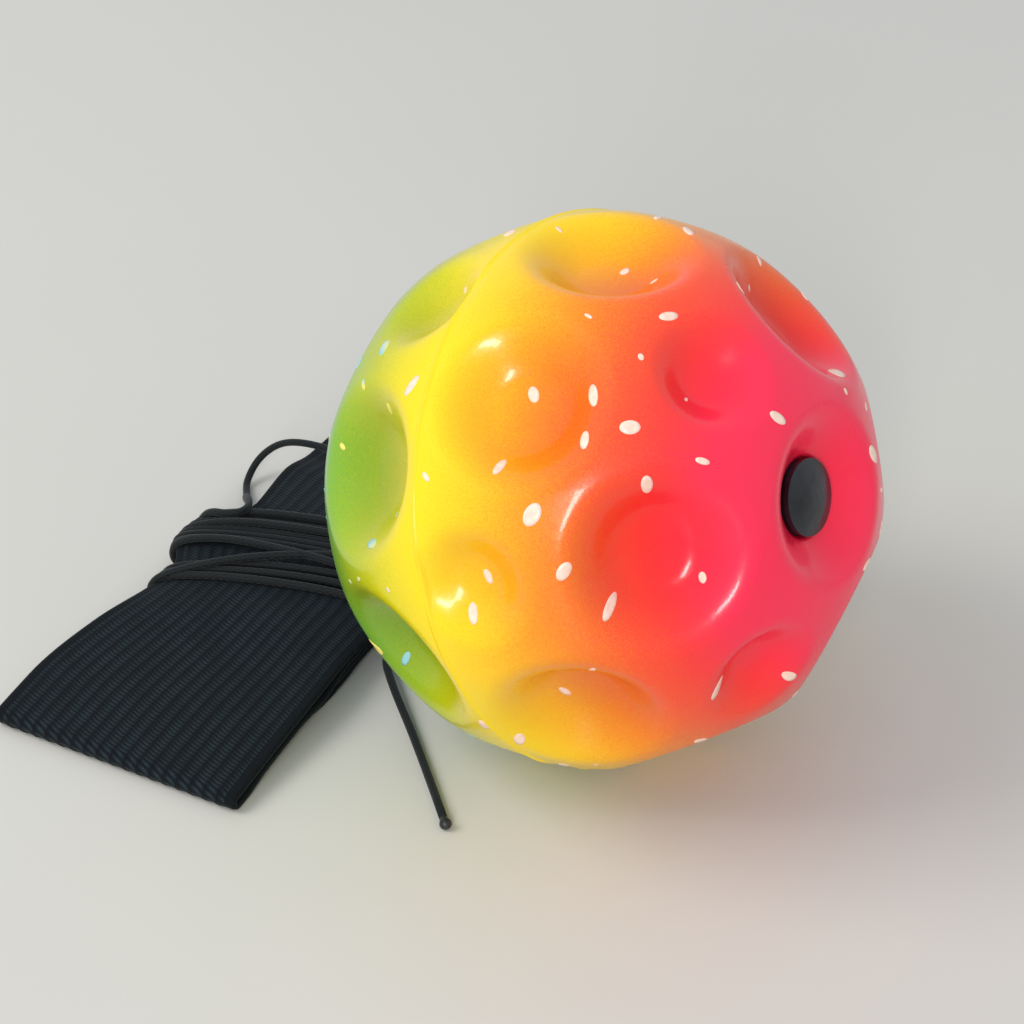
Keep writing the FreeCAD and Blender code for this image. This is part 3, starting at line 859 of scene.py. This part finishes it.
def tube(line, radius, sides=12, taper=None):
    """Round tube along a line: points, faces and UV (turns round, mm along)."""
    points, uvs = [], []
    tangents = [(line[min(i + 1, len(line) - 1)] - line[max(i - 1, 0)]).normalized()
                for i in range(len(line))]
    side = tangents[0].orthogonal().normalized()
    travelled = 0.0
    for index, (place, along) in enumerate(zip(line, tangents)):
        side = (side - along * side.dot(along)).normalized()
        other = along.cross(side)
        if index:
            travelled += (place - line[index - 1]).length
        thick = radius * (taper(index / (len(line) - 1)) if taper else 1.0)
        for step in range(sides + 1):
            around = 2 * math.pi * step / sides
            outward = side * math.cos(around) + other * math.sin(around)
            points.append(place + outward * thick)
            uvs.append((step / sides, travelled / MM))
    faces = grid_faces(len(line), sides + 1)
    last = (len(line) - 1) * (sides + 1)
    faces.append(tuple(range(sides - 1, -1, -1)))
    faces.append(tuple(last + step for step in range(sides)))
    return points, faces, uvs


def sweep(name, line, radius, material, sides=12, taper=None):
    points, faces, uvs = tube(line, radius, sides, taper)
    piece = new_mesh(name, points, faces, material, uvs=uvs)
    merge_seam(piece)
    return piece


def threads(name, lines, radius, material):
    """Many short threads as one piece."""
    points, faces, uvs = [], [], []
    for line in lines:
        new_points, new_faces, new_uvs = tube(line, radius, 8)
        faces += [tuple(len(points) + corner for corner in face) for face in new_faces]
        points += new_points
        uvs += new_uvs
    piece = new_mesh(name, points, faces, material, uvs=uvs)
    merge_seam(piece)
    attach(piece, "headband")
    return piece


def merge_seam(piece):
    """Weld the doubled points where a skin meets itself."""
    work = bmesh.new()
    work.from_mesh(piece.data)
    bmesh.ops.remove_doubles(work, verts=work.verts, dist=1e-7)
    work.to_mesh(piece.data)
    work.free()


def build_cords(material, melted):
    line = curve_points(working_route(), "working_line")
    cord = sweep("working_cord", line, CORD_R, material)
    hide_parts("cord_lead", "cord_wrap", "cord_run")
    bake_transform(cord)

    tail_line = curve_points(TAIL, "tail_line")
    tail = sweep("spare_end", tail_line, CORD_R, material)
    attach(tail, "headband")
    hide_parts("cord_tail")
    tip = build_tip(tail_line, melted)


def build_tip(line, material):
    """Melted bead: the cord flares a little and ends in a dull round face."""
    along = (line[-1] - line[-2]).normalized()
    outline = [1.0, 1.04, 1.1, 1.2, 1.32, 1.42, 1.46, 1.42, 1.28, 0.95, 0.35]
    steps = len(outline) - 1
    places = [line[-1] + along * (1.7 * MM * (i / steps)) for i in range(steps + 1)]
    tip = sweep("melted_tip", places, CORD_R, material, 14,
                lambda share: outline[round(share * steps)])
    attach(tip, "headband")
    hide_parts("cord_tip")
    return tip


# ----------------------------------------------------------- camera and light
CAMERA_RISE, CAMERA_TURN = math.radians(34.0), math.radians(27.8)
CAMERA_FROM_BALL = mm(98.7, -211.9, 154.1)
LENS_MM, SENSOR_MM = 77.6, 36
FLOOR_HALF = 9


def build_camera():
    camera = bpy.data.objects.new("camera", bpy.data.cameras.new("camera"))
    bpy.context.collection.objects.link(camera)
    camera.location = CENTRE + CAMERA_FROM_BALL
    camera.rotation_euler = (math.pi / 2 - CAMERA_RISE, 0, CAMERA_TURN)
    camera.data.lens = LENS_MM
    camera.data.sensor_width = SENSOR_MM
    camera.data.clip_start = 0.01
    bpy.context.scene.camera = camera


def area_light(name, place, size, power, colour):
    light = bpy.data.lights.new(name, "AREA")
    light.shape = "RECTANGLE"
    light.size, light.size_y = size
    light.energy = power
    light.color = colour
    holder = bpy.data.objects.new(name, light)
    bpy.context.collection.objects.link(holder)
    holder.location = place
    holder.rotation_euler = (CENTRE - Vector(place)).to_track_quat("-Z", "Y").to_euler()
    return holder


def build_light():
    world = bpy.data.worlds.new("studio")
    bpy.context.scene.world = world
    world.use_nodes = True
    sky = world.node_tree.nodes["Background"]
    sky.inputs["Color"].default_value = (0.9, 0.95, 1.0, 1.0)
    sky.inputs["Strength"].default_value = 0.72
    turn = Matrix.Rotation(CAMERA_TURN, 3, "Z")

    def seen(right, away, up):
        """A place given as the camera sees it: right, away from it and up, in metres."""
        return tuple(turn @ Vector((right, away, up)))

    key = area_light("key", seen(-0.75, -0.1, 0.75), (0.6, 0.6), 5.6, (1.0, 0.97, 0.93))
    key.visible_glossy = False
    area_light("window", seen(-0.17, -0.9, 0.42), (0.12, 0.3), 3.4, (1.0, 0.99, 0.97))


def build_floor():
    corners = [(x * FLOOR_HALF, y * FLOOR_HALF, 0) for x, y in ((-1, -1), (1, -1), (1, 1), (-1, 1))]
    floor = new_mesh("floor", corners, [(0, 1, 2, 3)], floor_material())


def dress(node, material):
    """Give a CAD node that keeps its shape a better material."""
    mesh = frame["nodes"][node].data
    mesh.materials.clear()
    mesh.materials.append(material)


bpy.context.scene.view_settings.view_transform = "Standard"
build_camera()
braid = cord_braid()
build_cords(braid, melted_material())
build_light()
build_floor()
build_ball(ball_paint())
build_specks(speck_paint())
knit = band_knit()
build_band(knit)
build_lap(knit)
black = moulded_plastic("cap_plastic", srgb(9, 12, 17), srgb(30, 36, 46), 0.12)
white = moulded_plastic("natural_plastic", srgb(205, 204, 196), srgb(222, 221, 214), 0.4)
dress("plug_cap", black)
dress("core_tube", white)
dress("knot_washer", white)
thread = thread_material()
build_stitches(thread)
build_eyelet(thread)
for node_name in ("cord_inner", "stop_knot", "anchor_knot"):
    dress(node_name, braid)
